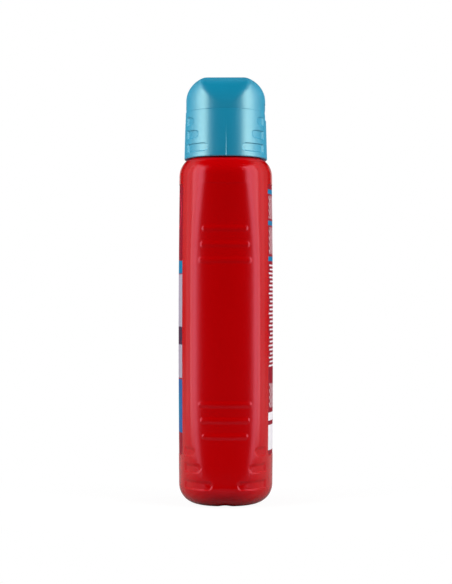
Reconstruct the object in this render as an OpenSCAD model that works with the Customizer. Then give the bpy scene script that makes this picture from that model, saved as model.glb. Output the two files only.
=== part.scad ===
// Flat oval squeeze bottle with a flip-top cap.
// X is the wide way, Y the narrow way with the front label at -Y, and Z = 0 is the table.

/* [Body] */
// Width of the body across its wide face
body_w = 58; // [54:0.5:64]
// Depth of the body at the heel and at the shoulder
body_d = 41; // [39:0.5:46]
// How far each wide face swells out half way up
body_bulge = 0.5; // [0:0.1:1.2]
// Height of the straight body, up to where the shoulder starts
body_h = 143.4; // [130:0.2:165]
// Height of the rounded shoulder
shoulder_h = 9; // [8:0.2:12]
// Height of the rounded heel
heel_h = 8; // [6:0.2:10]
// How far the heel turns in at the ends
heel_in_w = 10; // [8:0.2:12]
// How far the heel turns in at the wide faces
heel_in_d = 7.4; // [7:0.2:10]
// Wall thickness
wall = 1.1; // [0.8:0.05:1.4]
// Thickness of the floor
floor_t = 1.7; // [1.5:0.1:2.5]
// How far the middle of the floor is pushed up
push_up = 0.8; // [0.4:0.1:1]
// How square the oval plan is, 2 being an ellipse
plan_power = 2.5; // [2.2:0.05:2.8]

/* [Grip panel] */
// Width of the flattened panel on each narrow side
panel_w = 28.2; // [24:0.2:31]
// Height of the panel's foot above the table
panel_foot = 9; // [8:0.2:14]
// Distance from the panel's head down from the shoulder
panel_head = 4.2; // [0:0.2:6]
// Radius of the panel across its width
panel_round = 22; // [20:0.5:26]
// Height of one grip rib
rib_h = 3; // [2:0.05:3.4]
// Step from one rib to the next
rib_pitch = 6.8; // [6:0.1:8]
// How far a rib stands out of the panel
rib_out = 0.45; // [0.3:0.05:0.6]
// Length of the rib that lies furthest from the middle
rib_len = 19.2; // [16:0.2:21]
// How much longer each next rib is
rib_step = 1.6; // [0.8:0.1:2]
// Distance from the shoulder down to the top rib
rib_head = 23.6; // [20:0.2:28]
// Height of the bottom rib above the table
rib_foot = 30.6; // [30:0.2:34]
// Number of ribs in each group
ribs = 3; // [2:1:3]

/* [Corner notches] */
// Height of one notch
notch_h = 3.4; // [2.6:0.1:3.8]
// Depth of a notch
notch_depth = 0.6; // [0.3:0.05:0.7]
// Step from one body notch to the next
notch_pitch = 7.05; // [6.4:0.05:7.2]
// Height of the lowest body notch above the table
notch_foot = 9.5; // [8.5:0.1:10]
// Where the body notches end on the narrow side, lowest first
notch_inner = [5.6, 10.7, 13.4];
// Where the body notches end on the wide side
notch_outer = 17.3; // [16:0.1:18]
// Step from one cap notch to the next
cap_notch_pitch = 5.9; // [5.4:0.1:6.2]
// Height of the lowest cap notch above the cap's rim
cap_notch_foot = 4.1; // [3.5:0.1:4.4]
// Where the cap notches end on the narrow side, lowest first
cap_notch_inner = [7.6, 11.8, 14];
// Where the cap notches end on the wide side
cap_notch_outer = 16.5; // [15.6:0.1:16.8]

/* [Labels] */
// Width of the recess that a label lies in
label_w = 28; // [26:0.5:34]
// Height of the recesses' lower edge above the table
label_foot = 21.5; // [18:0.5:40]
// Distance from the recesses' upper edge to the shoulder
label_head = 3.9; // [2:0.1:20]
// Depth of that recess
label_recess = 0.3; // [0.2:0.05:0.4]
// Radius of the labels' corners
label_round = 3; // [1:0.5:5]
// Thickness of a label
label_t = 0.12; // [0.08:0.01:0.15]

/* [Cap] */
// How far the cap's rim lies inside the body at the ends
cap_in_w = 2.6; // [2:0.1:4]
// How far the cap's rim lies inside the body at the wide faces
cap_in_d = 2.2; // [1.6:0.1:3]
// How far the cap's rim hangs below the top of the shoulder
rim_drop = 1.6; // [1:0.1:2.4]
// Height of the cap's base, from rim to seam
cap_h = 20.6; // [19.6:0.2:24]
// How much the cap's base narrows at the ends on its way up
cap_taper_w = 2.2; // [1:0.1:3]
// How much the cap's base narrows at the wide faces on its way up
cap_taper_d = 0.55; // [0.3:0.05:1]
// Wall thickness of the cap and lid
cap_wall = 1.5; // [1.3:0.05:1.8]
// Thickness of the cap's deck
deck_t = 1.8; // [1.5:0.1:2.2]
// How far the deck lies below the seam
deck_drop = 1.4; // [1:0.1:2]
// Width of the rim around the deck
deck_rim = 2.2; // [2:0.1:2.6]
// Diameter of the hole that the gel comes out of
orifice_d = 4; // [3:0.1:5]

/* [Lid] */
// Height of the lid above the seam
lid_h = 14.3; // [13:0.1:18]
// Gap at the seam between the lid and the cap's base
seam_gap = 0.3; // [0.25:0.01:0.4]
// How far the lid steps in from the cap's base
lid_step = 0.27; // [0.1:0.01:0.5]
// Height of the lid's rounding at the ends
lid_round_hw = 13.4; // [11:0.1:14]
// How far the lid rounds in at the ends
lid_in_w = 12; // [10:0.2:14]
// Height of the lid's rounding at the wide faces
lid_round_hd = 9.5; // [8:0.1:12]
// How far the lid rounds in at the wide faces
lid_in_d = 8.6; // [7.5:0.1:10]
// Width of the soft edge where the rolled ends meet the lid's wall
lid_soft = 2.5; // [1:0.1:4]
// Radius of the rolled ends across the lid
lid_barrel = 250; // [120:10:400]

/* [Neck] */
// Outer diameter of the neck
neck_d = 24; // [22:0.2:25]
// Wall thickness of the neck
neck_wall = 1.5; // [1.3:0.05:1.8]
// How far the snap bead stands out of the neck
bead = 0.6; // [0.4:0.05:0.8]
// Radial clearance where the cap slides over the neck
neck_fit = 0.05; // [0.03:0.01:0.1]

/* [Hinge] */
// Width of the living hinge
strap_w = 9; // [7:0.5:12]
// Thickness of its plates at their ends
strap_t = 0.4; // [0.3:0.05:0.45]
// Thickness of its thin web at the seam
web_t = 0.2; // [0.15:0.05:0.25]
// Length of each plate above and below the seam
strap_leg = 3; // [2.5:0.1:4]

/* [Contents] */
// How far the gel stands below the top of the shoulder
headspace = 9; // [6:0.5:20]
// Gap drawn between the gel and the bottle's wall
gel_gap = 0.3; // [0.25:0.05:0.5]

/* [Hidden] */

body_red = [0.66, 0.02, 0.04];
label_red = [0.56, 0.05, 0.12];
cap_blue = [0.12, 0.62, 0.74];
gel_pink = [0.93, 0.55, 0.6];

half_w = body_w / 2;
half_d = body_d / 2;
shoulder_top = body_h + shoulder_h;
rim_z = shoulder_top - rim_drop;
seam_z = rim_z + cap_h;
lid_z = seam_z + seam_gap;
top_z = lid_z + lid_h;
deck_z = seam_z - deck_drop - deck_t;

cap_gap = 0.25; // between the cap's inside and the shoulder
strap_inset = 0.05; // from the lid's face in to the hinge's plates
lid_open = 130; // how far the lid swings, in degrees
pocket_side = 1.3; // room beside the hinge's plates
pocket_end = 0.4; // room beyond their ends
label_gap = 0.05; // between a label and the recess, at its back
label_trim = 0.1; // between a label's edge and the recess's edge
ramp = 0.35; // width of the slope at the edge of a rib, notch or recess
crease = 0.35; // rounding where the panel meets the body

rim_half_w = half_w - cap_in_w;
rim_half_d = half_d - cap_in_d;
seam_half_w = rim_half_w - cap_taper_w;
seam_half_d = rim_half_d - cap_taper_d;
lid_half_w = seam_half_w - lid_step;
lid_half_d = seam_half_d - lid_step;

// Outer face of the living hinge's web, just inside the lid's own face at its ends
strap_y = lid_half_d * pow(1 - pow(strap_w / 2 / lid_half_w, 2), 1 / plan_power) - strap_inset;

// The shoulder turns in just far enough to pass inside the cap's wall at the rim
function rounding(u) = 1 - sqrt(max(0, 1 - pow(min(1, max(0, u)), 2)));
shoulder_turn = rounding((rim_z - body_h) / shoulder_h);
shoulder_in_w = (cap_in_w + cap_wall + cap_gap) / shoulder_turn;
shoulder_in_d = (cap_in_d + cap_wall + cap_gap) / shoulder_turn;

panel_top = body_h - panel_head;
panel_mid = (panel_foot + panel_top) / 2;
panel_half_h = (panel_top - panel_foot) / 2;
label_top = body_h - label_head;
label_edge = label_w / 2;
rib_top = body_h - rib_head;

rib_list = [
    for (k = [0:ribs - 1], upper = [0, 1])
        [upper ? rib_top - k * rib_pitch : rib_foot + k * rib_pitch, (rib_len + k * rib_step) / 2]
];
notch_list = [for (k = [0:len(notch_inner) - 1]) [notch_foot + k * notch_pitch, notch_inner[k]]];
cap_notch_list = [
    for (k = [0:len(cap_notch_inner) - 1])
        [rim_z + cap_notch_foot + k * cap_notch_pitch, cap_notch_inner[k]]
];

// Lists: sorting, and dropping values that lie closer together than gap
function sorted(v) = len(v) < 2 ? v : let (
    pivot = v[floor(len(v) / 2)],
    low = [for (x = v) if (x < pivot) x],
    same = [for (x = v) if (x == pivot) x],
    high = [for (x = v) if (x > pivot) x]
) concat(sorted(low), same, sorted(high));
function spaced(v, gap) = [
    for (i = 0, last = v[0] - 2 * gap; i < len(v);
         last = v[i] - last >= gap ? v[i] : last, i = i + 1)
        if (v[i] - last >= gap) v[i]
];

// Plan of every level: |x/a|^2 + |y/b|^plan_power = 1
function plan_x(a, b, y) = a * sqrt(max(0, 1 - pow(min(1, abs(y) / b), plan_power)));
function plan_y(b, angle) = b * sign(sin(angle)) * pow(abs(sin(angle)), 2 / plan_power);
function plan_normal(a, b, x, y) = let (
    nx = 2 * x / (a * a),
    ny = plan_power * pow(abs(y), plan_power - 1) / pow(b, plan_power),
    size = max(1e-6, norm([nx, ny]))
) [nx / size, ny / size];
function angle_at_y(b, y) = asin(min(1, pow(y / b, plan_power / 2)));
function angle_at_x(a, x) = acos(min(1, x / a));

// The angles of one whole ring from those of its first quarter
function ring_angles(quarter) = let (
    q = spaced(sorted(concat([0], quarter)), 0.7),
    last = len(q) - 1
) concat(
    q,
    [for (i = [last:-1:0]) if (q[i] < 89.5) 180 - q[i]],
    [for (i = [1:last]) 180 + q[i]],
    [for (i = [last:-1:1]) if (q[i] < 89.5) 360 - q[i]]
);
body_angles = ring_angles([
    for (y = [3, 5, 6, 8, 9.3, 10.2, 11, 12, 13, 14.2, 16, 17, 17.6]) angle_at_y(half_d, y),
    for (x = [label_edge + ramp, label_edge, label_edge * 0.8, label_edge * 0.53, label_edge * 0.27, 0])
        angle_at_x(half_w, x)
]);
cap_angles = ring_angles([
    for (y = [2.5, 5, 7, 8, 9.5, 11.3, 12.2, 13.4, 14.4, 15.6, 16.6]) angle_at_y(rim_half_d, y),
    for (x = [11, 7.5, 4, 0]) angle_at_x(rim_half_w, x)
]);
plain_angles = ring_angles([for (angle = [10:10:90]) angle]);

// Trapezoid: 1 within half of centre, falling to 0 over the ramp
function band(v, centre, half) = max(0, min(1, (half - abs(v - centre)) / ramp + 0.5));
function edge_rows(z, height) = [
    for (side = [-1, 1], step = [-0.5, 0.5]) z + side * height / 2 + step * ramp
];

// Half width and half depth of the body; lift and drop move the inside's heel and shoulder
function body_half(z, lift = 0, drop = 0) = let (
    heel = rounding((heel_h - z + lift) / heel_h),
    shoulder = rounding((z + drop - body_h) / shoulder_h),
    middle = max(0, 1 - pow((z - body_h / 2) / (body_h / 2), 2))
) [
    half_w - heel * heel_in_w - shoulder * shoulder_in_w,
    half_d + body_bulge * middle - heel * heel_in_d - shoulder * shoulder_in_d
];

// The panel is a shallow barrel face that cuts the oval along an arched outline
function panel_half(z) =
    panel_w / 2 * pow(max(0, 1 - pow(abs(z - panel_mid) / panel_half_h, 4.4)), 1 / 3.2);
function panel_x(a, b, y, z) = let (
    w = panel_half(z)
) w < 1 ? 2 * a : plan_x(a, b, w) + (w * w - y * y) / (2 * panel_round);
function soft_min(p, q, soft) = let (h = max(soft - abs(p - q), 0) / soft) min(p, q) - h * h * soft / 4;

function rib_relief(y, z) = rib_out * max([
    for (g = rib_list) band(z, g[0], rib_h / 2) * band(abs(y), 0, g[1])
]);
function notch_relief(list, outer, y, z) = notch_depth * max([
    for (g = list)
        band(z, g[0], notch_h / 2) * band(abs(y), (g[1] + outer) / 2, (outer - g[1]) / 2)
]);
function label_relief(x, z) = label_recess
    * band(z, (label_foot + label_top) / 2, (label_top - label_foot) / 2 + ramp / 2)
    * band(x, 0, label_edge + ramp / 2);

// One point of the body's outside, sunk by the reliefs and moved out by lift
function body_point(angle, z, lift = 0) = let (
    half = body_half(z),
    y = plan_y(half[1], angle),
    plain = half[0] * abs(cos(angle)),
    x = soft_min(plain, panel_x(half[0], half[1], y, z), crease),
    normal = plan_normal(half[0], half[1], x, y),
    sink = max(notch_relief(notch_list, notch_outer, y, z), label_relief(x, z)) - rib_relief(y, z)
) [sign(cos(angle)) * (x - (sink - lift) * normal[0]), y - sign(y) * (sink - lift) * normal[1], z];

// One ring of the body's inside, at a distance from the outside
function inside_ring(z, distance) = let (
    half = body_half(z, floor_t - wall + distance, distance),
    a = half[0] - distance,
    b = half[1] - distance
) [
    for (angle = plain_angles) let (
        y = plan_y(b, angle),
        x = min(a * abs(cos(angle)), panel_x(half[0], half[1], y, z) - distance)
    ) [sign(cos(angle)) * x, y, z]
];

function oval_ring(angles, a, b, z) = [for (angle = angles) [a * cos(angle), plan_y(b, angle), z]];

// A closed solid through rings of equal length, bottom first
module loft(rings) {
    n = len(rings[0]);
    last = (len(rings) - 1) * n;
    polyhedron(
        points = [for (ring = rings) each ring],
        faces = concat(
            [[for (i = [0:n - 1]) i]],
            [
                for (k = [0:len(rings) - 2], i = [0:n - 1])
                    let (low = k * n, high = low + n, j = (i + 1) % n)
                    each [[low + i, high + i, high + j], [low + i, high + j, low + j]]
            ],
            [[for (i = [n - 1:-1:0]) last + i]]
        ),
        convexity = 10
    );
}

module body_outside() {
    rows = spaced(sorted([
        for (angle = [0:15:90]) heel_h * (1 - cos(angle)),
        for (g = notch_list) each edge_rows(g[0], notch_h),
        for (g = rib_list) each edge_rows(g[0], rib_h),
        each edge_rows((label_foot + label_top) / 2, label_top - label_foot + ramp),
        for (share = [0.02, 0.95, 0.98, 1]) panel_foot + share * 2 * panel_half_h,
        for (share = [0.42, 0.5, 0.58]) body_h * share,
        for (angle = [0:15:90]) body_h + shoulder_h * sin(angle)
    ]), 0.25);
    dish = body_half(0);
    loft(concat(
        [oval_ring(body_angles, dish[0] * 0.5, dish[1] * 0.5, push_up)],
        [oval_ring(body_angles, dish[0] * 0.8, dish[1] * 0.8, 0)],
        [for (z = rows) [for (angle = body_angles) body_point(angle, z)]]
    ));
}

module body_inside(distance, top) {
    base = floor_t - wall + distance;
    rows = spaced(sorted([
        for (angle = [0:18:90]) base + heel_h * (1 - cos(angle)),
        for (share = [0.06, 0.2, 0.35, 0.5, 0.65, 0.8, 0.94]) panel_foot + share * 2 * panel_half_h,
        for (angle = [0:18:90]) min(top, body_h - distance + shoulder_h * sin(angle))
    ]), 0.3);
    loft([for (z = rows) if (z <= top) inside_ring(z, distance)]);
}

module neck_outside() {
    bead_z = shoulder_top + 5;
    r = neck_d / 2;
    rotate_extrude($fn = 96) polygon([
        [0, body_h], [r, body_h], [r, bead_z - 2 * bead], [r + bead, bead_z - bead],
        [r + bead, bead_z], [r, bead_z + 2 * bead], [r, deck_z], [0, deck_z]
    ]);
}

module bottle() {
    color(body_red) difference() {
        union() {
            body_outside();
            neck_outside();
        }
        body_inside(wall, shoulder_top - wall);
        translate([0, 0, body_h]) cylinder(r = neck_d / 2 - neck_wall, h = deck_z - body_h + 1, $fn = 96);
    }
}

module gel() {
    color(gel_pink) body_inside(wall + gel_gap, shoulder_top - headspace);
}

// A label follows the recess, one side of each ring outside and the other inside
module label_sheet(side) {
    rows = [for (k = [0:8]) label_foot + k * (label_top - label_foot) / 8];
    across = [
        for (angle = body_angles)
            if (sign(sin(angle)) == side && abs(half_w * cos(angle)) < label_edge + 0.01) angle
    ];
    n = len(across);
    loft([
        for (z = rows) concat(
            [for (i = [0:n - 1]) body_point(across[i], z, label_gap + label_t)],
            [for (i = [n - 1:-1:0]) body_point(across[i], z, label_gap)]
        )
    ]);
}

module label(side) {
    inset = label_trim + label_round;
    size = [label_w - 2 * inset, label_top - label_foot - 2 * inset];
    intersection() {
        label_sheet(side);
        translate([0, 0, (label_foot + label_top) / 2]) rotate([90, 0, 0])
            linear_extrude(2 * body_d, center = true)
                offset(r = label_round, $fn = 48) square(size, center = true);
    }
}

module front_label() {
    color(label_red) label(-1);
}

module back_label() {
    color(label_red) label(1);
}

// Outside of the cap's base between two heights, as one ring at a height
function cap_point(angle, z) = let (
    rise = min(1, max(0, (z - rim_z) / cap_h)),
    foot = rounding(1 - (z - rim_z) / 0.5) * 0.4,
    head = rounding(1 - (seam_z - z) / 0.4) * 0.3,
    a = rim_half_w - cap_taper_w * pow(rise, 1.6) - foot - head,
    b = rim_half_d - cap_taper_d * rise - foot - head,
    x = a * abs(cos(angle)),
    y = plan_y(b, angle),
    normal = plan_normal(a, b, x, y),
    sink = notch_relief(cap_notch_list, cap_notch_outer, y, z)
) [sign(cos(angle)) * (x - sink * normal[0]), y - sign(y) * sink * normal[1], z];

module cap_outside() {
    rows = spaced(sorted([
        for (step = [0, 0.15, 0.5]) rim_z + step,
        for (g = cap_notch_list) each edge_rows(g[0], notch_h),
        for (step = [0, 0.1, 0.4]) seam_z - step
    ]), 0.09);
    loft([for (z = rows) [for (angle = cap_angles) cap_point(angle, z)]]);
}

module cap_hollow() {
    loft([
        for (share = [-0.05, 0.4, 0.75, 1]) let (
            z = rim_z + share * (deck_z - rim_z),
            rise = max(0, z - rim_z) / cap_h
        ) oval_ring(
            plain_angles,
            rim_half_w - cap_taper_w * pow(rise, 1.6) - cap_wall,
            rim_half_d - cap_taper_d * rise - cap_wall,
            z
        )
    ]);
}

// The sleeve that snaps over the neck's bead, with the nozzle above it
module cap_sleeve() {
    sleeve_t = 1.3;
    r = neck_d / 2 + neck_fit;
    bead_z = shoulder_top + 5;
    foot_z = shoulder_top + 1;
    rotate_extrude($fn = 96) polygon([
        [r + 0.4, foot_z], [r + bead + sleeve_t, foot_z], [r + bead + sleeve_t, deck_z + 0.01],
        [r, deck_z + 0.01], [r, bead_z + 2 * bead], [r + bead, bead_z + neck_fit],
        [r + bead, bead_z - bead - neck_fit], [r, bead_z - 2 * bead], [r, foot_z + 0.4]
    ]);
}

// The spout stands on the deck and ends level with the rim around it
module spout() {
    below = 3;
    translate([0, 0, deck_z - below])
        cylinder(d = orifice_d + 2.4, h = seam_z - deck_z + below, $fn = 64);
}

module deck_pocket() {
    a = seam_half_w - deck_rim;
    b = seam_half_d - deck_rim;
    draft = 0.2;
    loft([
        oval_ring(plain_angles, a - draft, b - draft, seam_z - deck_drop),
        oval_ring(plain_angles, a + draft, b + draft, seam_z + deck_drop)
    ]);
}

// The pocket is so wide that the lid beside it lies inside the hinge line
module hinge_pocket() {
    side = strap_w + 2 * pocket_side;
    length = 2 * (strap_leg + pocket_end) + seam_gap;
    translate([-side / 2, strap_y - strap_t, lid_z - seam_gap / 2 - length / 2])
        cube([side, 10, length]);
}

module cap_base() {
    dish_r = 11;
    color(cap_blue) difference() {
        union() {
            difference() {
                cap_outside();
                cap_hollow();
                deck_pocket();
            }
            cap_sleeve();
            spout();
        }
        translate([0, 0, deck_z - 4]) cylinder(d = orifice_d, h = seam_z - deck_z + 5, $fn = 64);
        hinge_pocket();
        translate([0, -(seam_half_d + dish_r - 1), seam_z - 2]) sphere(r = dish_r, $fn = 64);
    }
}

// Half width and half depth of the lid
function lid_reach(z) = lid_half_w - lid_in_w * rounding((z - top_z + lid_round_hw) / lid_round_hw);
function lid_depth(z) = lid_half_d - lid_in_d * rounding((z - top_z + lid_round_hd) / lid_round_hd);

// The ends roll over almost straight across, so they cut the oval wall along an arch
function lid_point(angle, z) = let (
    y = plan_y(lid_depth(z), angle),
    end = lid_reach(z),
    soft = min(lid_soft, lid_half_w - end) + 0.001,
    x = soft_min(lid_half_w * abs(cos(angle)), end - y * y / (2 * lid_barrel), soft)
) [sign(cos(angle)) * x, y, z];

module lid_outside() {
    rows = spaced(sorted([
        lid_z,
        lid_z + 0.4,
        for (angle = [0:10:90]) top_z - lid_round_hw * (1 - sin(angle)),
        for (angle = [0:15:90]) top_z - lid_round_hd * (1 - sin(angle))
    ]), 0.12);
    loft([for (z = rows) [for (angle = cap_angles) lid_point(angle, z)]]);
}

module lid_hollow() {
    loft([
        for (angle = [-6, 0, 20, 40, 55, 70, 80]) let (
            z = top_z - lid_round_hw * (1 - sin(angle))
        ) oval_ring(plain_angles, lid_reach(z) - cap_wall, lid_depth(z) - cap_wall, z - cap_wall)
    ]);
}

// The pin under the lid that plugs the hole
module plug() {
    plug_r = orifice_d / 2 - 0.08;
    tip_z = seam_z - 1.35;
    rotate_extrude($fn = 64) polygon([
        [0, tip_z], [plug_r - 0.35, tip_z], [plug_r, tip_z + 0.4], [plug_r, lid_z + 0.3],
        [plug_r + 0.7, lid_z + 1], [plug_r + 0.7, top_z - cap_wall - 0.1], [0, top_z - cap_wall - 0.1]
    ]);
}

module lid() {
    color(cap_blue) difference() {
        union() {
            difference() {
                lid_outside();
                lid_hollow();
            }
            plug();
        }
        hinge_pocket();
    }
}

// The plates follow the lid's face, and slope back to the web so that they clear each other when bent
module hinge_strap() {
    mid_z = lid_z - seam_gap / 2;
    web_h = seam_gap / 2 + 0.2;
    inner = strap_y - strap_t;
    slope = (lid_half_d - strap_y + web_t) * tan(lid_open / 2);
    color(cap_blue) intersection() {
        translate([-strap_w / 2, 0, 0]) rotate([90, 0, 90]) linear_extrude(strap_w) polygon([
            [inner, mid_z - strap_leg], [lid_half_d, mid_z - strap_leg],
            [lid_half_d, mid_z - web_h - slope], [strap_y, mid_z - web_h],
            [strap_y, mid_z + web_h], [lid_half_d, mid_z + web_h + slope],
            [lid_half_d, mid_z + strap_leg], [inner, mid_z + strap_leg],
            [inner, mid_z + web_h + 0.2], [strap_y - web_t, mid_z + web_h],
            [strap_y - web_t, mid_z - web_h], [inner, mid_z - web_h - 0.2]
        ]);
        translate([0, 0, mid_z - 2 * strap_leg]) linear_extrude(4 * strap_leg) polygon([
            for (angle = cap_angles)
                [(lid_half_w - strap_inset) * cos(angle), plan_y(lid_half_d - strap_inset, angle)]
        ]);
    }
}

bottle();
gel();
front_label();
back_label();
cap_base();
lid();
hinge_strap();
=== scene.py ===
import math

import bpy
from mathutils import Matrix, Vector


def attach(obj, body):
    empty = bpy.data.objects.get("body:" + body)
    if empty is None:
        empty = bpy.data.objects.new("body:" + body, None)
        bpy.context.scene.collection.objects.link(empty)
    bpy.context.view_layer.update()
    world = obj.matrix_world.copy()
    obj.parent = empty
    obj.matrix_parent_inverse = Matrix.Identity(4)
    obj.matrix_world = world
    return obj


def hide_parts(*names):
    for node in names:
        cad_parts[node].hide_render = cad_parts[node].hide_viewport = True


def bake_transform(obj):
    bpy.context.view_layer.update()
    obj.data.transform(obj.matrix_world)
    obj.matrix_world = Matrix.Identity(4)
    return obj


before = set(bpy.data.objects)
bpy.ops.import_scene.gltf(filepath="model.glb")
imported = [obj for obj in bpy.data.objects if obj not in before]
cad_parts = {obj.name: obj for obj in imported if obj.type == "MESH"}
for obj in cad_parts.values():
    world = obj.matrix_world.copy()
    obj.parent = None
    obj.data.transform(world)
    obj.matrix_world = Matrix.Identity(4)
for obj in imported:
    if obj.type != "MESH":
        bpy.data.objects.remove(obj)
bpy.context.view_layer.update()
scene = bpy.context.scene
scene.view_settings.view_transform = "Standard"
mm = 0.001

# ---- camera, at the height of the body's middle, almost square to one narrow side
cameraSizes = {"distance": 760.0, "height": 92.5, "turn": 0.8, "aimAside": 0.1, "lens": 105.76}


def placeCamera(sizes):
    turn = math.radians(sizes["turn"])
    camera = bpy.data.objects.new("camera", bpy.data.cameras.new("camera"))
    camera.data.lens = sizes["lens"]
    camera.data.sensor_width = 36.0
    camera.data.clip_start = 0.01
    camera.data.clip_end = 50.0
    reach = sizes["distance"] * mm
    camera.location = (reach * math.cos(turn), reach * math.sin(turn), sizes["height"] * mm)
    across = sizes["aimAside"] * mm - camera.location[1]
    camera.rotation_euler = (math.pi / 2, 0, math.atan2(camera.location[0], across))
    scene.collection.objects.link(camera)
    scene.camera = camera


placeCamera(cameraSizes)


# ---- formulas in node trees: a Wire is a number on its way through the nodes
class Wire:
    def __init__(self, tree, source):
        self.tree = tree
        self.source = source

    def __add__(self, other):
        return calc(self.tree, "ADD", self, other)

    def __radd__(self, other):
        return calc(self.tree, "ADD", other, self)

    def __sub__(self, other):
        return calc(self.tree, "SUBTRACT", self, other)

    def __rsub__(self, other):
        return calc(self.tree, "SUBTRACT", other, self)

    def __mul__(self, other):
        return calc(self.tree, "MULTIPLY", self, other)

    def __rmul__(self, other):
        return calc(self.tree, "MULTIPLY", other, self)

    def __truediv__(self, other):
        return calc(self.tree, "DIVIDE", self, other)

    def __rtruediv__(self, other):
        return calc(self.tree, "DIVIDE", other, self)

    def __pow__(self, power):
        return calc(self.tree, "POWER", self, power)


def feed(tree, socket, value):
    if isinstance(value, Wire):
        tree.links.new(value.source, socket)
    else:
        socket.default_value = value


def calc(tree, operation, *values, clamp=False):
    node = tree.nodes.new("ShaderNodeMath")
    node.operation = operation
    node.use_clamp = clamp
    for socket, value in zip(node.inputs, values):
        feed(tree, socket, value)
    return Wire(tree, node.outputs[0])


def size(wire):
    return calc(wire.tree, "ABSOLUTE", wire)


def root(wire):
    return calc(wire.tree, "SQRT", wire)


def side(wire):
    return calc(wire.tree, "SIGN", wire)


def least(wire, other):
    return calc(wire.tree, "MINIMUM", wire, other)


def most(wire, other):
    return calc(wire.tree, "MAXIMUM", wire, other)


def above(wire, other):
    return calc(wire.tree, "GREATER_THAN", wire, other)


def clamped(wire):
    return calc(wire.tree, "ADD", wire, 0.0, clamp=True)


def eased(wire):
    share = clamped(wire)
    return share * share * (3.0 - 2.0 * share)


# 0 up to u = 0, then a quarter circle down to 1 at u = 1
def rounding(u):
    share = clamped(u)
    return 1.0 - root(most(1.0 - share * share, 0.0))


# 1 inside a slot with round corners, 0 outside, with a soft step of width ramp between
def slotShare(u, v, halfU, halfV, corner, ramp):
    du = most(size(u) - (halfU - corner), 0.0)
    dv = most(size(v) - (halfV - corner), 0.0)
    return eased(0.5 - (root(du * du + dv * dv) - corner) / ramp)


# ---- forms: a sheet of rings, which a node tree bends into the piece
def formTree(name, sizes, shape, material):
    tree = bpy.data.node_groups.new(name, "GeometryNodeTree")
    tree.interface.new_socket("Geometry", in_out="INPUT", socket_type="NodeSocketGeometry")
    tree.interface.new_socket("Geometry", in_out="OUTPUT", socket_type="NodeSocketGeometry")
    for key in sizes:
        tree.interface.new_socket(key, in_out="INPUT", socket_type="NodeSocketFloat")
    entry = tree.nodes.new("NodeGroupInput")
    named = {key: Wire(tree, entry.outputs[key]) for key in sizes}
    marks = {}
    for mark in ("around", "height", "inset", "formed"):
        node = tree.nodes.new("GeometryNodeInputNamedAttribute")
        node.data_type = "FLOAT"
        node.inputs["Name"].default_value = mark
        marks[mark] = Wire(tree, node.outputs["Attribute"])
    point = shape(named, marks["around"], marks["height"], marks["inset"])
    place = tree.nodes.new("ShaderNodeCombineXYZ")
    for socket, value in zip(place.inputs, point):
        feed(tree, socket, value * mm)
    rest = tree.nodes.new("GeometryNodeInputPosition")
    choose = tree.nodes.new("ShaderNodeMix")
    choose.data_type = "VECTOR"
    feed(tree, choose.inputs[0], marks["formed"])
    tree.links.new(rest.outputs[0], choose.inputs[4])
    tree.links.new(place.outputs[0], choose.inputs[5])
    move = tree.nodes.new("GeometryNodeSetPosition")
    real = tree.nodes.new("GeometryNodeRealizeInstances")
    finish = tree.nodes.new("GeometryNodeSetMaterial")
    finish.inputs["Material"].default_value = material
    leave = tree.nodes.new("NodeGroupOutput")
    tree.links.new(entry.outputs["Geometry"], move.inputs["Geometry"])
    tree.links.new(choose.outputs[1], move.inputs["Position"])
    tree.links.new(move.outputs[0], real.inputs[0])
    tree.links.new(real.outputs[0], finish.inputs["Geometry"])
    tree.links.new(finish.outputs[0], leave.inputs[0])
    return tree


def formRing(z, inset=0.0):
    return {"z": z, "inset": inset, "formed": 1.0, "a": 1.0, "b": 1.0, "power": 2.0}


def ovalRing(a, b, z, power=2.5):
    return {"z": z, "inset": 0.0, "formed": 0.0, "a": a, "b": b, "power": power}


def roundRing(radius, z):
    return ovalRing(radius, radius, z, 2.0)


# Rings of equal length joined to one skin; an end is a pole, or the last ring meets the first
def ringMesh(name, rings, columns, poles):
    count = len(columns)
    points, around, height, inset, formed = [], [], [], [], []
    for ring in rings:
        for angle in columns:
            sine = math.sin(angle)
            y = math.copysign(abs(sine) ** (2.0 / ring["power"]), sine) * ring["b"]
            points.append((ring["a"] * math.cos(angle) * mm, y * mm, ring["z"] * mm))
            around.append(angle)
            height.append(ring["z"])
            inset.append(ring["inset"])
            formed.append(ring["formed"])
    faces = []
    pairs = [(k, k + 1) for k in range(len(rings) - 1)]
    if poles is None:
        pairs.append((len(rings) - 1, 0))
    for low, high in pairs:
        for i in range(count):
            j = (i + 1) % count
            faces.append((low * count + i, low * count + j, high * count + j, high * count + i))
    if poles is not None:
        last = (len(rings) - 1) * count
        for z in poles:
            points.append((0.0, 0.0, z * mm))
            around.append(0.0)
            height.append(z)
            inset.append(0.0)
            formed.append(0.0)
        start, end = len(points) - 2, len(points) - 1
        for i in range(count):
            j = (i + 1) % count
            faces.append((start, j, i))
            faces.append((last + i, last + j, end))
    mesh = bpy.data.meshes.new(name)
    mesh.from_pydata(points, [], faces)
    for mark, values in (("around", around), ("height", height), ("inset", inset), ("formed", formed)):
        mesh.attributes.new(mark, "FLOAT", "POINT").data.foreach_set("value", values)
    return mesh


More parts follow.
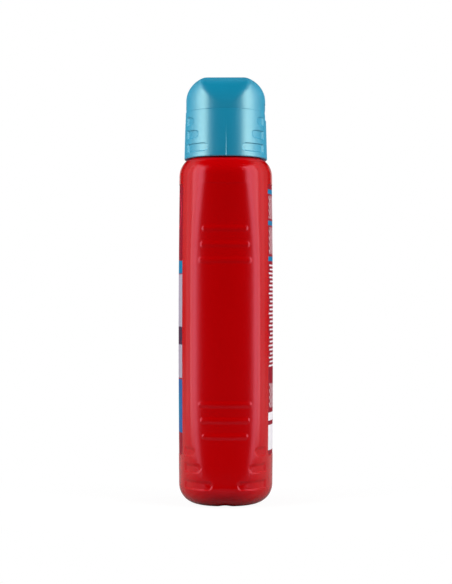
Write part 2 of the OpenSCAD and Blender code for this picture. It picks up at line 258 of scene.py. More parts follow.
# The node tree's result as a plain mesh, smooth but for its real edges
def formPiece(name, rings, columns, poles, sizes, shape, material, sharp=40.0):
    piece = bpy.data.objects.new(name, ringMesh(name, rings, columns, poles))
    scene.collection.objects.link(piece)
    modifier = piece.modifiers.new("form", "NODES")
    tree = formTree(name + "Form", sizes, shape, material)
    modifier.node_group = tree
    for item in tree.interface.items_tree:
        if item.in_out == "INPUT" and item.name in sizes:
            modifier[item.identifier] = float(sizes[item.name])
    graph = bpy.context.evaluated_depsgraph_get()
    mesh = bpy.data.meshes.new_from_object(piece.evaluated_get(graph))
    piece.modifiers.clear()
    piece.data = mesh
    for mark in ("around", "height", "inset", "formed"):
        mesh.attributes.remove(mesh.attributes[mark])
    mesh.shade_smooth()
    mesh.set_sharp_from_angle(angle=math.radians(sharp))
    print("formed", name, len(mesh.polygons), "faces")
    return piece


def steps(start, end, gap):
    count = max(1, round((end - start) / gap))
    return [start + (end - start) * k / count for k in range(count + 1)]


def sortedApart(values, gap):
    kept = []
    for value in sorted(values):
        if not kept or value - kept[-1] >= gap:
            kept.append(value)
    return kept


# Angles of one whole ring from places on its first quarter: y near the end, x near the face
def ringColumns(a, b, alongY, alongX, power=2.5, apart=0.002):
    quarter = [math.asin(min(1.0, (y / b) ** (power / 2))) for y in alongY]
    quarter += [math.acos(x / a) for x in alongX]
    quarter = [q for q in sortedApart(quarter + [0.0], apart) if q < math.pi / 2 - apart]
    top = [math.pi / 2]
    first = quarter + top + [math.pi - q for q in reversed(quarter)]
    third = [math.pi + q for q in quarter[1:] + top]
    return first + third + [2 * math.pi - q for q in reversed(quarter[1:])]


# ---- materials
def newMaterial(name, viewColour):
    material = bpy.data.materials.new(name)
    material.use_nodes = True
    material.diffuse_color = (*viewColour, 1.0)
    tree = material.node_tree
    return material, tree, tree.nodes["Principled BSDF"]


def objectPoint(tree):
    return tree.nodes.new("ShaderNodeTexCoord").outputs["Object"]


def noise(tree, scale, detail=2.0, stretch=(1.0, 1.0, 1.0)):
    mapping = tree.nodes.new("ShaderNodeMapping")
    mapping.inputs["Scale"].default_value = stretch
    tree.links.new(objectPoint(tree), mapping.inputs["Vector"])
    node = tree.nodes.new("ShaderNodeTexNoise")
    node.inputs["Scale"].default_value = scale
    node.inputs["Detail"].default_value = detail
    tree.links.new(mapping.outputs[0], node.inputs["Vector"])
    return Wire(tree, node.outputs["Fac"])


def mixColour(tree, share, first, second):
    node = tree.nodes.new("ShaderNodeMix")
    node.data_type = "RGBA"
    feed(tree, node.inputs[0], share)
    for socket, colour in ((node.inputs[6], first), (node.inputs[7], second)):
        if hasattr(colour, "is_output"):
            tree.links.new(colour, socket)
        else:
            socket.default_value = (*colour, 1.0)
    return node.outputs[2]


def bumped(tree, shader, height, distance, strength=1.0):
    node = tree.nodes.new("ShaderNodeBump")
    node.inputs["Distance"].default_value = distance
    node.inputs["Strength"].default_value = strength
    feed(tree, node.inputs["Height"], height)
    tree.links.new(node.outputs[0], shader.inputs["Normal"])


redFinish = {
    "base": (0.5, 0.0, 0.001), "deep": (0.45, 0.0, 0.0006), "shine": (1.0, 0.31, 0.45), "roughness": 0.2,
    "ripple": 0.00002,
}


def redPlastic(look):
    material, tree, shader = newMaterial("glossyRedPlastic", look["base"])
    cloud = noise(tree, 60.0, 3.0)
    tree.links.new(mixColour(tree, cloud, look["base"], look["deep"]), shader.inputs["Base Color"])
    feed(tree, shader.inputs["Roughness"], noise(tree, 240.0, 4.0) * 0.06 + (look["roughness"] - 0.03))
    shader.inputs["IOR"].default_value = 1.65
    shader.inputs["Specular Tint"].default_value = (*look["shine"], 1.0)
    ripple = noise(tree, 110.0, 1.0, (1.0, 1.0, 0.5)) + noise(tree, 1400.0, 2.0) * 0.12
    bumped(tree, shader, ripple, look["ripple"])
    return material


pearlFinish = {
    "base": (0.0, 0.225, 0.385), "light": (0.0, 0.285, 0.475), "shine": (0.66, 0.97, 0.9), "roughness": 0.42,
    "ripple": 0.000012,
}


def pearlPlastic(look):
    material, tree, shader = newMaterial("turquoisePearl", look["base"])
    flakes = tree.nodes.new("ShaderNodeTexVoronoi")
    flakes.inputs["Scale"].default_value = 9000.0
    tree.links.new(objectPoint(tree), flakes.inputs["Vector"])
    flow = noise(tree, 90.0, 3.0, (1.0, 1.0, 0.35)) * 0.7 + Wire(tree, flakes.outputs["Distance"]) * 0.5
    tree.links.new(mixColour(tree, flow, look["base"], look["light"]), shader.inputs["Base Color"])
    feed(tree, shader.inputs["Roughness"], noise(tree, 500.0, 3.0) * 0.06 + (look["roughness"] - 0.03))
    shader.inputs["IOR"].default_value = 3.1
    shader.inputs["Specular Tint"].default_value = (*look["shine"], 1.0)
    bumped(tree, shader, noise(tree, 1500.0, 2.0), look["ripple"])
    return material


gelFinish = {"base": (0.85, 0.25, 0.3), "roughness": 0.05}


def gelLook(look):
    material, tree, shader = newMaterial("clearPinkGel", look["base"])
    tree.links.new(mixColour(tree, noise(tree, 40.0), look["base"], (0.9, 0.35, 0.38)),
                   shader.inputs["Base Color"])
    shader.inputs["Roughness"].default_value = look["roughness"]
    shader.inputs["Transmission Weight"].default_value = 0.7
    shader.inputs["IOR"].default_value = 1.36
    return material


print("materials ready")

# ---- bottle, in millimetres
bottleSizes = {
    "width": 58.0, "depth": 41.0, "bulge": 0.5, "straight": 143.4, "shoulder": 9.0, "heel": 8.0,
    "heelInEnds": 10.0, "heelInFaces": 7.4, "shoulderInEnds": 10.1, "shoulderInFaces": 9.17,
    "wall": 1.1, "floor": 1.7, "power": 2.5,
    "panelWidth": 28.2, "panelFoot": 9.0, "panelHead": 139.2, "panelRound": 22.0, "crease": 0.9,
    "ribHeight": 3.0, "ribPitch": 6.8, "ribOut": 0.2, "ribLength": 19.2,
    "ribStep": 1.6, "ribTop": 119.8, "ribFoot": 30.6, "ribRamp": 0.7,
    "notchHeight": 3.4, "notchPitch": 7.05, "notchDepth": 0.46, "notchFoot": 9.5,
    "notchOuter": 17.3, "notchRamp": 0.4,
    "labelWidth": 28.0, "labelFoot": 21.5, "labelTop": 139.5, "labelRecess": 0.3, "labelCorner": 3.1,
    "pinchWidth": 3.6, "pinchLift": 0.35,
}
notchInner = (5.6, 10.7, 13.4)


def planX(s, a, b, y):
    share = least(size(y) / b, 1.0)
    return a * root(most(1.0 - share ** s["power"], 0.0))


# Outward direction of the oval plan at a point
def planNormal(power, a, b, x, y):
    nx = 2.0 * x / (a * a)
    ny = power * size(y) ** (power - 1.0) / b ** power
    length = root(nx * nx + ny * ny)
    return nx / length, ny / length


def bottleShape(s, around, z, inset):
    tree = z.tree
    inside = above(inset, 0.01)
    lift = (s["floor"] - s["wall"] + inset) * inside
    heel = rounding((s["heel"] - z + lift) / s["heel"])
    shoulder = rounding((z + inset - s["straight"]) / s["shoulder"])
    offMiddle = (z - s["straight"] / 2.0) / (s["straight"] / 2.0)
    middle = most(1.0 - offMiddle * offMiddle, 0.0)
    a = s["width"] / 2.0 - heel * s["heelInEnds"] - shoulder * s["shoulderInEnds"] - inset
    b = (s["depth"] / 2.0 + s["bulge"] * middle - heel * s["heelInFaces"]
         - shoulder * s["shoulderInFaces"] - inset)
    sine = calc(tree, "SINE", around)
    cosine = calc(tree, "COSINE", around)
    y = b * size(sine) ** (2.0 / s["power"])
    plain = a * size(cosine)

    panelMiddle = (s["panelFoot"] + s["panelHead"]) / 2.0
    panelReach = (s["panelHead"] - s["panelFoot"]) / 2.0
    reach = size(z - panelMiddle) / panelReach
    half = s["panelWidth"] / 2.0 * most(1.0 - reach ** 4.4, 0.0) ** (1 / 3.2)
    narrow = 1.0 - above(half, 1.0)
    cut = planX(s, a + inset, b + inset, half) + (half * half - y * y) / (2.0 * s["panelRound"]) - inset
    cut = cut + narrow * s["width"]
    crease = s["crease"] * (0.04 + 0.96 * eased(half / 9.0))
    near = most(crease - size(plain - cut), 0.0) / crease
    x = least(plain, cut) - near * near * crease / 4.0

    sink = calc(tree, "ADD", 0.0, 0.0)
    rib = calc(tree, "ADD", 0.0, 0.0)
    halfRib = s["ribHeight"] / 2.0
    for k in range(3):
        halfLength = (s["ribLength"] + k * s["ribStep"]) / 2.0
        for centre in (s["ribTop"] - k * s["ribPitch"], s["ribFoot"] + k * s["ribPitch"]):
            crown = eased((halfRib + 0.3 - size(z - centre)) / 1.8)
            rib = most(rib, slotShare(y, z - centre, halfLength, halfRib, halfRib, s["ribRamp"]) * crown)
    outer = eased(0.5 + (s["notchOuter"] - y) / s["notchRamp"])
    for k, inner in enumerate(notchInner):
        rise = z - (s["notchFoot"] + k * s["notchPitch"])
        ramp = s["notchRamp"] * (1.0 + 3.2 * eased(rise / 0.8 + 0.5))
        notch = slotShare(y - (inner + 10.0), rise, 10.0, s["notchHeight"] / 2.0,
                          s["notchHeight"] / 2.0, ramp)
        sink = most(sink, least(notch, outer) * s["notchDepth"])
    labelMiddle = (s["labelFoot"] + s["labelTop"]) / 2.0
    label = slotShare(x, z - labelMiddle, s["labelWidth"] / 2.0 + 0.1,
                      (s["labelTop"] - s["labelFoot"]) / 2.0 + 0.1, s["labelCorner"], 0.3)
    sink = most(sink, label * s["labelRecess"] * above(y, s["depth"] / 4.0))
    sink = (sink - rib * s["ribOut"]) * (1.0 - inside)

    nx, ny = planNormal(s["power"], a, b, x, y)
    pinch = eased(1.0 - y / s["pinchWidth"]) * eased(1.0 - z / 3.0) * s["pinchLift"] * (1.0 - inside)
    return side(cosine) * (x - sink * nx), side(sine) * (y - sink * ny), z + pinch


def bottleRows():
    s = bottleSizes
    rows = [s["heel"] * (1 - math.cos(math.radians(t))) for t in range(0, 91, 6)]
    for k in range(3):
        centre = s["notchFoot"] + k * s["notchPitch"]
        foot, top = centre - s["notchHeight"] / 2, centre + s["notchHeight"] / 2
        rows += steps(foot - 0.3, foot + 0.3, 0.1) + steps(top - 0.9, top + 0.9, 0.3)
        rows += steps(foot + 0.5, top - 1.0, 0.45)
        for rib in (s["ribTop"] - k * s["ribPitch"], s["ribFoot"] + k * s["ribPitch"]):
            rows += steps(rib - 2.2, rib + 2.2, 0.31)
    for edge in (s["labelFoot"], s["labelTop"]):
        rows += steps(edge - 0.4, edge + 0.4, 0.2)
    rows += steps(28.0, 46.5, 1.2) + steps(46.5, 103.5, 3.0) + steps(103.5, 122.0, 1.2)
    rows += steps(122.0, 139.0, 1.2) + steps(139.0, 143.4, 0.5)
    rows += [s["straight"] + s["shoulder"] * math.sin(math.radians(t)) for t in range(0, 79, 6)]
    return [z for z in sortedApart(rows, 0.08) if z <= 152.3]


def bottlePiece():
    s = bottleSizes
    foot = (s["width"] / 2 - s["heelInEnds"], s["depth"] / 2 - s["heelInFaces"])
    rings = [ovalRing(foot[0] * share, foot[1] * share, z)
             for share, z in ((0.3, 0.8), (0.55, 0.74), (0.68, 0.45), (0.77, 0.12), (0.85, 0.0))]
    rings += [formRing(z) for z in bottleRows()]
    neck = ((12.0, 152.45), (12.0, 156.2), (12.5, 156.7), (12.6, 156.9), (12.6, 157.3), (12.5, 157.6),
            (12.0, 158.6), (12.0, 168.0), (11.85, 168.2), (10.6, 168.2), (10.5, 168.05), (10.5, 151.3))
    rings += [roundRing(radius, z) for radius, z in neck]
    inner = [s["floor"] + s["heel"] * (1 - math.cos(math.radians(t))) for t in range(0, 91, 10)]
    inner += steps(12.0, 140.0, 16.0)
    inner += [s["straight"] - s["wall"] + s["shoulder"] * math.sin(math.radians(t)) for t in range(0, 78, 9)]
    rings += [formRing(z, s["wall"]) for z in reversed(sortedApart(inner, 0.3))]
    columns = ringColumns(
        s["width"] / 2, s["depth"] / 2,
        steps(0.0, 5.0, 0.7) + steps(5.0, 17.7, 0.26),
        steps(0.0, 13.2, 1.2) + steps(13.5, 14.6, 0.14) + steps(14.8, 16.6, 0.45))
    piece = formPiece("bottleBody", rings, columns, (0.8, s["floor"]), bottleSizes, bottleShape,
                      redPlastic(redFinish))
    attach(piece, "pack")
    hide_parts("bottle")


bottlePiece()

# ---- cap base and lid, in millimetres
capSizes = {
    "rimZ": 150.8, "seamZ": 171.4, "endHalf": 26.4, "faceHalf": 18.3, "taperEnds": 2.2, "taperFaces": 0.55,
    "power": 2.5, "notchHeight": 3.4, "notchPitch": 5.9, "notchDepth": 0.6, "notchFoot": 154.9,
    "notchOuter": 16.5, "notchRamp": 0.36, "wall": 1.5, "deckFoot": 168.2,
    "lineAside": 0.5, "lineWidth": 0.17, "lineHeight": 0.1, "lineTop": 172.0,
    "dishRadius": 11.0, "dishY": 27.75, "dishZ": 169.4,
    "pocketHalf": 5.8, "pocketY": 16.78, "pocketFoot": 168.0, "pocketTop": 175.1,
}
capNotchInner = (7.6, 11.8, 14.0)
lidSizes = {
    "foot": 171.46, "top": 186.0, "endHalf": 23.93, "faceHalf": 17.48, "roundEnds": 13.4, "inEnds": 12.0,
    "roundFaces": 9.5, "inFaces": 8.6, "power": 2.5, "soft": 2.5, "barrel": 250.0, "wall": 1.5,
    "lineAside": 0.5, "lineWidth": 0.17, "lineHeight": 0.1, "lineFoot": 150.8, "lineTop": 172.0,
    "pocketHalf": 5.8, "pocketY": 16.78, "pocketTop": 175.1,
}


# The mould's parting line at both ends, a little off the middle, fading out on its way up
def partingLine(s, y, z, foot):
    fade = eased(1.0 - (z - foot) / (s["lineTop"] - foot))
    return s["lineHeight"] * eased(1.0 - size(y - s["lineAside"]) / s["lineWidth"]) * fade


# The hinge's pocket at the back, a flat cut
def hingeCut(s, x, y, inPocket):
    pocket = least(y, s["pocketY"])
    return y + (pocket - y) * inPocket * eased((s["pocketHalf"] - size(x)) / 0.1 + 0.5)


def capShape(s, around, z, inset):
    tree = z.tree
    tall = s["seamZ"] - s["rimZ"]
    rise = clamped((z - s["rimZ"]) / tall)
    foot = rounding(1.0 - (z - s["rimZ"]) / 0.5) * 0.4
    head = rounding(1.0 - (s["seamZ"] - z) / 0.2) * 0.14
    a = s["endHalf"] - s["taperEnds"] * rise ** 1.6 - foot - head
    b = s["faceHalf"] - s["taperFaces"] * rise - foot - head
    sine = calc(tree, "SINE", around)
    cosine = calc(tree, "COSINE", around)
    x = a * size(cosine)
    y = b * size(sine) ** (2.0 / s["power"])
    sink = calc(tree, "ADD", 0.0, 0.0)
    outer = eased(0.5 + (s["notchOuter"] - y) / s["notchRamp"])
    for k, inner in enumerate(capNotchInner):
        notch = slotShare(y - (inner + 10.0), z - (s["notchFoot"] + k * s["notchPitch"]), 10.0,
                          s["notchHeight"] / 2.0, s["notchHeight"] / 2.0, s["notchRamp"])
        sink = most(sink, least(notch, outer) * s["notchDepth"])
    nx, ny = planNormal(s["power"], a, b, x, y)
    y = side(sine) * (y - sink * ny)
    x = side(cosine) * (x - sink * nx + partingLine(s, y, z, s["rimZ"]))
    drop = z - s["dishZ"]
    dish = root(most(s["dishRadius"] * s["dishRadius"] - x * x - drop * drop, 0.0)) - s["dishY"]
    y = y + most(dish - y, 0.0) * (1.0 - above(sine, 0.0)) * above(s["dishRadius"] - size(drop), 0.0)
    inPocket = eased((z - s["pocketFoot"]) / 0.1 + 0.5) * above(sine, 0.0)
    return x, hingeCut(s, x, y, inPocket), z


# The ends roll over almost straight across, so they cut the oval wall along an arch
def lidShape(s, around, z, inset):
    tree = z.tree
    end = s["endHalf"] - s["inEnds"] * rounding((z - s["top"] + s["roundEnds"]) / s["roundEnds"])
    b = s["faceHalf"] - s["inFaces"] * rounding((z - s["top"] + s["roundFaces"]) / s["roundFaces"]) - inset
    sine = calc(tree, "SINE", around)
    cosine = size(calc(tree, "COSINE", around))
    outside = 1.0 - above(inset, 0.01)
    y = b * size(sine) ** (2.0 / s["power"])
    plain = s["endHalf"] * cosine
    roll = end - y * y / (2.0 * s["barrel"])
    soft = least(s["soft"] * outside, s["endHalf"] - end) + 0.001
    near = most(soft - size(plain - roll), 0.0) / soft
    inner = (end - inset) * cosine
    x = inner + (least(plain, roll) - near * near * soft / 4.0 - inner) * outside
    y = side(sine) * y
    x = side(calc(tree, "COSINE", around)) * (x + partingLine(s, y, z, s["lineFoot"]) * outside)
    inPocket = eased((s["pocketTop"] - z) / 0.1 + 0.5) * above(sine, 0.0) * outside
    return x, hingeCut(s, x, y, inPocket), z - inset


capColumns = ringColumns(
    capSizes["endHalf"], capSizes["faceHalf"],
    [0.16, 0.33] + steps(0.39, 0.67, 0.056) + [1.0] + steps(1.4, 7.0, 0.7) + steps(7.2, 16.9, 0.24),
    steps(0.0, 4.8, 1.2) + [5.6, 5.72, 5.77, 5.83, 5.88, 6.0] + steps(7.4, 10.4, 1.0), apart=0.001)


def capPiece(finish):
    s = capSizes
    rows = [s["rimZ"] + t for t in (0.0, 0.04, 0.12, 0.25, 0.5)] + steps(151.8, 152.8, 0.5)
    for k in range(3):
        centre = s["notchFoot"] + k * s["notchPitch"]
        rows += steps(centre - 2.0, centre - 1.4, 0.1) + steps(centre - 1.2, centre + 1.2, 0.4)
        rows += steps(centre + 1.4, centre + 2.0, 0.1) + [centre + 2.6, centre - 2.6]
    rows += [s["pocketFoot"] + t for t in (-0.07, -0.03, 0.03, 0.07)] + steps(168.7, 170.7, 0.5)
    rows += [s["seamZ"] - t for t in (0.4, 0.2, 0.14, 0.08, 0.03, 0.0)]
    rings = [formRing(z) for z in sortedApart(rows, 0.03)]
    rings += [ovalRing(22.2, 15.75, 171.4), ovalRing(22.05, 15.6, 171.3), ovalRing(21.9, 15.5, 170.2),
              ovalRing(21.7, 15.3, 170.0)]
    spout = ((3.5, 170.0), (3.2, 170.2), (3.2, 171.25), (3.05, 171.4), (2.2, 171.4), (2.0, 171.2),
             (2.0, 165.2), (3.2, 165.2), (3.2, 168.2))
    skirt = ((12.05, 168.2), (12.05, 158.6), (12.65, 157.45), (12.65, 156.75), (12.05, 156.2),
             (12.05, 153.8), (12.45, 153.4), (13.95, 153.4), (13.95, s["deckFoot"]))
    rings += [roundRing(radius, z) for radius, z in spout + skirt]
    for share in (1.0, 0.75, 0.4, 0.0):
        z = s["rimZ"] + share * (s["deckFoot"] - s["rimZ"])
        rise = (z - s["rimZ"]) / (s["seamZ"] - s["rimZ"])
        a = s["endHalf"] - s["taperEnds"] * rise ** 1.6 - s["wall"]
        rings.append(ovalRing(a, s["faceHalf"] - s["taperFaces"] * rise - s["wall"], z))
    piece = formPiece("capBase", rings, capColumns, None, capSizes, capShape, finish)
    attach(piece, "pack")
    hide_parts("cap_base")


def lidPiece(finish):
    s = lidSizes
    plug = ((1.57, 170.05), (1.8, 170.15), (1.92, 170.45), (1.92, 172.0), (2.62, 172.7), (2.62, 184.1),
            (3.0, 184.5))
    rings = [roundRing(radius, z) for radius, z in plug]
    inner = [s["top"] - s["roundEnds"] * (1 - math.sin(math.radians(t))) for t in (0, 20, 40, 55, 68, 80)]
    rings += [ovalRing(6.0, 4.6, 184.5)]
    rings += [formRing(z, s["wall"]) for z in reversed(inner)]
    rings += [ovalRing(s["endHalf"] - s["wall"], s["faceHalf"] - s["wall"], s["foot"])]
    rows = [s["foot"], 171.5, 171.6, 171.8, 172.3, 173.2, 174.2, 175.03, 175.07, 175.13, 175.17]
    rows += [s["top"] - s["roundEnds"] * (1 - math.sin(math.radians(t))) for t in range(20, 91, 3)]
    rows += [s["top"] - s["roundFaces"] * (1 - math.sin(math.radians(t))) for t in range(0, 91, 5)]
    rings += [formRing(z) for z in sortedApart(rows, 0.02)]
    flat = (s["endHalf"] - s["inEnds"], s["faceHalf"] - s["inFaces"])
    rings += [ovalRing(flat[0] * share, flat[1] * share, s["top"]) for share in (0.9, 0.6, 0.3)]
    piece = formPiece("capLid", rings, capColumns, (plug[0][1], s["top"]), lidSizes, lidShape, finish)
    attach(piece, "lid")
    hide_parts("lid")


pearl = pearlPlastic(pearlFinish)
capPiece(pearl)
lidPiece(pearl)

# ---- living hinge, a thin strap at the back across the seam
hingeSizes = {
    "width": 9.0, "plate": 0.4, "web": 0.2, "webHalf": 0.35, "leg": 3.0, "faceY": 17.18, "middleZ": 171.55,
    "slope": 0.28, "inset": 0.05, "edge": 0.06,
}


# Outer and inner face of the hinge at a place: the plates follow the lid, the web is flat
def hingeFaces(x, rise):
    s = hingeSizes
    lid = lidSizes["faceHalf"] * (1 - (abs(x) / lidSizes["endHalf"]) ** 2) ** (1 / lidSizes["power"])
    outer = min(lid - s["inset"], s["faceY"] + max(0.0, abs(rise) - s["webHalf"]) * s["slope"])
    thin = min(1.0, max(0.0, (s["webHalf"] + 0.2 - abs(rise)) / 0.2))
    return outer, s["faceY"] - s["plate"] + thin * (s["plate"] - s["web"])


def hingePiece(finish):
    s = hingeSizes
    upper = [0.07, 0.14, 0.21, 0.28, 0.35, 0.45, 0.55, 0.8, 1.1, 1.4, 1.8, 2.4, s["leg"] - 0.07, s["leg"]]
    rows = [-r for r in reversed(upper)] + [0.0] + upper
    half = s["width"] / 2
    across = [-half, 0.07 - half] + steps(-4.0, 4.0, 0.8) + [half - 0.07, half]
    points, faces = [], []
    for r in rows:
        for x in across:
            trim = s["edge"] * (abs(x) == half or abs(r) == s["leg"])
            outer, inner = hingeFaces(x, r)
            points.append((x * mm, (outer - trim) * mm, (s["middleZ"] + r) * mm))
            points.append((x * mm, (inner + trim) * mm, (s["middleZ"] + r) * mm))
    wide = len(across)

    def at(k, i, inner):
        return (k * wide + i) * 2 + inner

    for k in range(len(rows) - 1):
        for i in range(wide - 1):
            faces.append((at(k, i, 0), at(k + 1, i, 0), at(k + 1, i + 1, 0), at(k, i + 1, 0)))
            faces.append((at(k, i, 1), at(k, i + 1, 1), at(k + 1, i + 1, 1), at(k + 1, i, 1)))
        faces.append((at(k, 0, 0), at(k, 0, 1), at(k + 1, 0, 1), at(k + 1, 0, 0)))
        end = wide - 1
        faces.append((at(k, end, 0), at(k + 1, end, 0), at(k + 1, end, 1), at(k, end, 1)))
    last = len(rows) - 1
    for i in range(wide - 1):
        faces.append((at(0, i, 0), at(0, i + 1, 0), at(0, i + 1, 1), at(0, i, 1)))
        faces.append((at(last, i, 0), at(last, i, 1), at(last, i + 1, 1), at(last, i + 1, 0)))
    mesh = bpy.data.meshes.new("hingeStrap")
    mesh.from_pydata(points, [], faces)
    mesh.materials.append(finish)
    mesh.shade_smooth()
    mesh.set_sharp_from_angle(angle=math.radians(50))
    piece = bpy.data.objects.new("hingeStrap", mesh)
    scene.collection.objects.link(piece)
    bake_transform(piece)
    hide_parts("hinge_strap")


hingePiece(pearl)

# ---- labels, thin printed film in the recesses
labelSizes = {"halfWidth": 13.9, "foot": 21.6, "top": 139.4, "corner": 3.0, "outer": 0.14, "thick": 0.12}


def bodyFace(x, z):
    s = bottleSizes
    off = (z - s["straight"] / 2) / (s["straight"] / 2)
    b = s["depth"] / 2 + s["bulge"] * (1 - off * off)
    a = s["width"] / 2
    y = b * (1 - (abs(x) / a) ** 2) ** (1 / s["power"])
    nx = 2 * x / a ** 2
    ny = s["power"] * y ** (s["power"] - 1) / b ** s["power"]
    length = math.hypot(nx, ny)
    return y, nx / length, ny / length


def labelPiece(name, node, facing, finish):
    s = labelSizes
    half, corner = s["halfWidth"], s["corner"]
    turn = [corner * (1 - math.cos(math.radians(t))) for t in range(0, 91, 10)]
    rows = [s["foot"] + t for t in turn]
    rows += [s["foot"] + corner + (s["top"] - s["foot"] - 2 * corner) * k / 60 for k in range(1, 60)]
    rows += [s["top"] - t for t in reversed(turn)]
    across = [-1 + 2 * k / 40 for k in range(41)]
    points, faces, flat = [], [], []
    for z in rows:
        deep = max(0.0, corner - min(z - s["foot"], s["top"] - z))
        width = half - corner + math.sqrt(max(0.0, corner ** 2 - deep ** 2))
        for share in across:
            x = share * width
            y, nx, ny = bodyFace(x, z)
            points.append(((x - s["outer"] * nx) * mm, facing * (y - s["outer"] * ny) * mm, z * mm))
            flat.append((x * facing * -1 / 40 + 0.5, z / 160))
    wide = len(across)
    for k in range(len(rows) - 1):
        for i in range(wide - 1):
            face = (k * wide + i, k * wide + i + 1, (k + 1) * wide + i + 1, (k + 1) * wide + i)
            faces.append(face if facing < 0 else face[::-1])
    mesh = bpy.data.meshes.new(name)
    mesh.from_pydata(points, [], faces)
    layer = mesh.uv_layers.new(name="print")
    for loop in mesh.loops:
        layer.data[loop.index].uv = flat[loop.vertex_index]
    mesh.materials.append(finish)
    piece = bpy.data.objects.new(name, mesh)
    scene.collection.objects.link(piece)
    modifier = piece.modifiers.new("thickness", "SOLIDIFY")
    modifier.thickness = s["thick"] * mm
    modifier.offset = -1.0
    graph = bpy.context.evaluated_depsgraph_get()
    solid = bpy.data.meshes.new_from_object(piece.evaluated_get(graph))
    piece.modifiers.clear()
    piece.data = solid
    solid.shade_smooth()
    solid.set_sharp_from_angle(angle=math.radians(50))
    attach(piece, "pack")
    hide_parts(node)


# The print is laid out in millimetres across and up the label
def printPlace(tree):
    node = tree.nodes.new("ShaderNodeUVMap")
    node.uv_map = "print"
    split = tree.nodes.new("ShaderNodeSeparateXYZ")
    tree.links.new(node.outputs[0], split.inputs[0])
    return (Wire(tree, split.outputs[0]) - 0.5) * 40.0, Wire(tree, split.outputs[1]) * 160.0


printInks = {
    "ground": (0.22, 0.001, 0.012), "bright": (0.5, 0.012, 0.04), "teal": (0.0, 0.16, 0.32),
    "lilac": (0.36, 0.31, 0.39), "pale": (0.75, 0.72, 0.76), "blue": (0.02, 0.10, 0.30),
    "dark": (0.06, 0.02, 0.05),
}


def field(u, v, left, right, low, high, corner=0.6, ramp=0.12):
    return slotShare(u - (left + right) / 2, v - (low + high) / 2, (right - left) / 2, (high - low) / 2,
                     corner, ramp)


def labelMaterial(name, paint):
    inks = printInks
    material, tree, shader = newMaterial(name, inks["ground"])
    u, v = printPlace(tree)
    grain = noise(tree, 900.0, 3.0)
    colour = mixColour(tree, grain * 0.25, inks["ground"], inks["bright"])
    for share, ink in paint(u, v):
        colour = mixColour(tree, share, colour, inks[ink])
    tree.links.new(colour, shader.inputs["Base Color"])
    feed(tree, shader.inputs["Roughness"], grain * 0.08 + 0.4)
    shader.inputs["Specular IOR Level"].default_value = 0.12
    bumped(tree, shader, noise(tree, 260.0, 2.0), 0.00001)
    return material


def frontPrint(u, v):
    return [
        (field(u, v, -12.0, 12.0, 120.0, 136.0, 8.0), "bright"),
        (field(u, v, -10.6, 10.6, 121.4, 134.6, 6.6), "ground"),
        (field(u, v, -16.0, 16.0, 100.6, 106.2, 0.2), "teal"),
        (field(u, v, -16.0, 16.0, 55.0, 100.2, 0.2), "lilac"),
        (field(u, v, -16.0, 16.0, 69.6, 77.4, 0.2), "dark"),
        (field(u, v, -16.0, 16.0, 31.2, 54.4, 0.2), "blue"),
        (field(u, v, -10.0, 10.0, 34.0, 51.0, 8.4), "teal"),
    ]


def backPrint(u, v):
    paint = []
    for z in (136.3, 122.6, 107.0):
        paint.append((field(u, v, -16.0, 16.0, z - 1.0, z + 1.0, 0.2), "teal"))
    pitch = 1.75
    line = calc(v.tree, "FRACT", v / pitch)
    row = calc(v.tree, "FLOOR", v / pitch)
    ragged = calc(v.tree, "FRACT", row * 0.61803)
    bars = eased((0.26 - size(line - 0.5)) / 0.1) * eased((13.6 - ragged * 2.4 - size(u)) / 0.1)
    zone = above(v, 59.5) * (1.0 - above(v, 104.5))
    paint.append((bars * zone * 0.9, "pale"))
    slant = calc(v.tree, "FRACT", (v + u * 1.1) / 2.9)
    strokes = eased((0.17 - size(slant - 0.5)) / 0.08) * eased((12.6 - size(u)) / 0.2)
    for low, high in ((124.6, 134.6), (109.2, 120.8), (42.0, 52.6)):
        paint.append((strokes * above(v, low) * (1.0 - above(v, high)), "pale"))
    paint.append((field(u, v, -16.0, -2.0, 36.5, 40.0, 0.4), "pale"))
    paint.append((field(u, v, -16.0, 0.0, 23.6, 34.6, 0.6), "pale"))
    return paint


labelPiece("frontLabel", "front_label", -1, labelMaterial("frontLabelPrint", frontPrint))
labelPiece("backLabel", "back_label", 1, labelMaterial("backLabelPrint", backPrint))
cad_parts["gel"].data.materials.clear()
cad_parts["gel"].data.materials.append(gelLook(gelFinish))
print("pieces ready")

# ---- studio
studio = {
    "aside": 0.3, "frontFill": 20.0, "backFill": 9.0, "fillWidth": 0.5, "fillReach": 0.8, "fillAside": 1.1,
    "fillHigh": 1.05, "frontGlossy": 0.004, "flankGlossy": 0.2, "backGlossy": 0.8,
}
# Each soft box is made of bright sheets before a wider dim one: near, far, low, high, radiance
softSheets = ((0.179, 0.068, 0.004, 0.39, 2.7), (0.232, 0.180, 0.004, 0.39, 1.2),
              (0.067, -0.058, 0.004, 0.39, 1.9), (0.25, -0.22, 0.004, 0.43, 0.35))


def areaLight(name, place, turn, width, height, radiance):
    light = bpy.data.lights.new(name, "AREA")
    light.shape = "RECTANGLE"
    light.size = width
    light.size_y = height
    light.energy = radiance * math.pi * width * height
    lamp = bpy.data.objects.new(name, light)
    lamp.location = place
    lamp.rotation_euler = turn
    lamp.visible_camera = False
    scene.collection.objects.link(lamp)
    return lamp


def softBoxes(s):
    for k, (near, far, low, high, radiance) in enumerate(softSheets):
        for sign in (-1, 1):
            name = "softBox" + ("Left" if sign < 0 else "Right") + str(k)
            place = ((near + far) / 2, sign * (s["aside"] + 0.01 * k), (low + high) / 2)
            turn = (math.pi / 2, 0, math.pi if sign > 0 else 0)
            areaLight(name, place, turn, near - far, high - low, radiance)


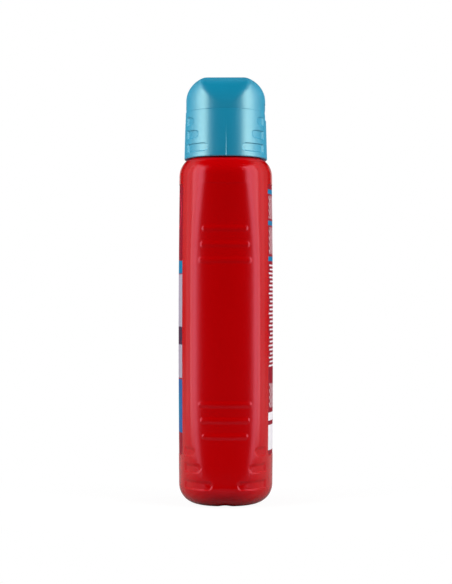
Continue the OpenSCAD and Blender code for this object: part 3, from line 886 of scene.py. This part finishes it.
# Lamps at the four corners above, which light the colours but aren't mirrored in the plastic
def fills(s):
    for ahead, radiance in ((1, s["frontFill"]), (-1, s["backFill"])):
        for sign in (-1, 1):
            place = Vector((ahead * s["fillReach"], sign * s["fillAside"], s["fillHigh"]))
            turn = (Vector((0, 0, 0.1)) - place).to_track_quat("-Z", "Y").to_euler()
            name = "fill" + ("Front" if ahead > 0 else "Back") + ("Left" if sign < 0 else "Right")
            lamp = areaLight(name, place, turn, s["fillWidth"], s["fillWidth"], radiance)
            lamp.visible_glossy = False


def setWorld(s):
    world = bpy.data.worlds.new("studio")
    scene.world = world
    world.use_nodes = True
    tree = world.node_tree
    tree.nodes.clear()
    split = tree.nodes.new("ShaderNodeSeparateXYZ")
    tree.links.new(tree.nodes.new("ShaderNodeTexCoord").outputs["Generated"], split.inputs[0])
    back = 0.0 - Wire(tree, split.outputs[0])
    flank = eased((back - 0.3) / 0.1) * eased((0.86 - back) / 0.1)
    beside = eased((size(Wire(tree, split.outputs[1])) - Wire(tree, split.outputs[2])) / 0.05)
    behind = eased((back - 0.93) / 0.05) * beside
    dim = s["frontGlossy"] + flank * s["flankGlossy"] + behind * s["backGlossy"]
    seen = Wire(tree, tree.nodes.new("ShaderNodeLightPath").outputs["Is Camera Ray"])
    light = tree.nodes.new("ShaderNodeBackground")
    light.inputs["Color"].default_value = (1, 1, 1, 1)
    feed(tree, light.inputs["Strength"], dim + (1.0 - dim) * seen)
    leave = tree.nodes.new("ShaderNodeOutputWorld")
    tree.links.new(light.outputs[0], leave.inputs[0])


def floorPiece():
    material = bpy.data.materials.new("paleFloor")
    material.use_nodes = True
    tree = material.node_tree
    tree.nodes.clear()
    split = tree.nodes.new("ShaderNodeSeparateXYZ")
    tree.links.new(objectPoint(tree), split.inputs[0])
    x, y = Wire(tree, split.outputs[0]), Wire(tree, split.outputs[1])
    away = root(x * x + y * y)
    path = tree.nodes.new("ShaderNodeLightPath")
    diffuse = tree.nodes.new("ShaderNodeBsdfDiffuse")
    # Rays other than the camera's see the floor grey, darkening to near black in front of the bottle:
    # painted shade for the dark space before it, which the plastic mirrors
    reflectedFloorShade = mixColour(tree, eased((x - 0.06) / 0.2), (0.27, 0.27, 0.27), (0.05, 0.05, 0.05))
    tint = mixColour(tree, Wire(tree, path.outputs["Is Camera Ray"]), reflectedFloorShade, (0.9, 0.9, 0.9))
    tree.links.new(tint, diffuse.inputs["Color"])
    white = tree.nodes.new("ShaderNodeEmission")
    mix = tree.nodes.new("ShaderNodeMixShader")
    leave = tree.nodes.new("ShaderNodeOutputMaterial")
    share = Wire(tree, path.outputs["Is Camera Ray"]) * (0.93 + 0.07 * eased((away - 0.03) / 0.1))
    feed(tree, mix.inputs[0], share)
    tree.links.new(diffuse.outputs[0], mix.inputs[1])
    tree.links.new(white.outputs[0], mix.inputs[2])
    tree.links.new(mix.outputs[0], leave.inputs[0])
    reach = 30.0
    mesh = bpy.data.meshes.new("floor")
    mesh.from_pydata([(-reach, -reach, 0), (reach, -reach, 0), (reach, reach, 0), (-reach, reach, 0)], [],
                     [(0, 1, 2, 3)])
    mesh.materials.append(material)
    floor = bpy.data.objects.new("floor", mesh)
    scene.collection.objects.link(floor)


softBoxes(studio)
fills(studio)
setWorld(studio)
floorPiece()
print("studio ready")
